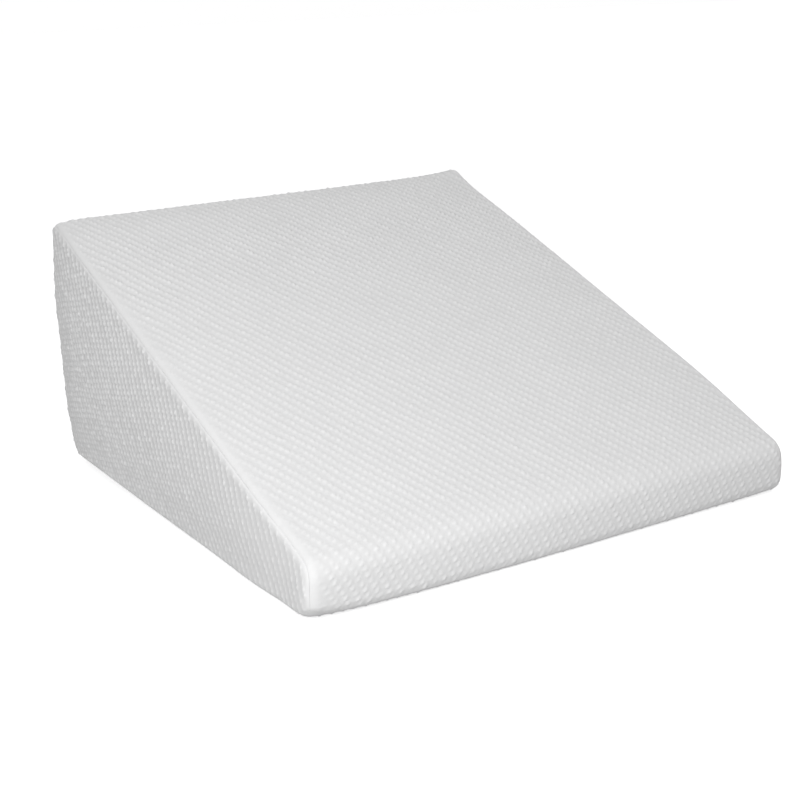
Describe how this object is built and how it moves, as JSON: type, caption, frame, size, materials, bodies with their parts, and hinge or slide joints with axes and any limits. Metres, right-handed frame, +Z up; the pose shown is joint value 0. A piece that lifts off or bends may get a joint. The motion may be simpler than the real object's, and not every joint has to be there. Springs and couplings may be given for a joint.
{
  "type": "memory foam wedge pillow",
  "caption": "Wedge-shaped foam pillow in a fitted bubble-knit cover, with a thin front lip, a sloping top, a tall back end and a flat underside.",
  "frame": {"origin": "middle of the pillow's footprint, on the surface that it rests on", "axes": "+Z up, +Y towards the tall end, -Y towards the thin lip, +X to the right as seen from the lip"},
  "size_m": [0.61, 0.66, 0.305],
  "materials": {
    "bubble_knit": "matt white knit with small raised bubbles"
  },
  "bodies": {
    "root": {"wedge_body": "bubble_knit", "side_panel_left": "bubble_knit", "side_panel_right": "bubble_knit"}
  },
  "joints": []
}
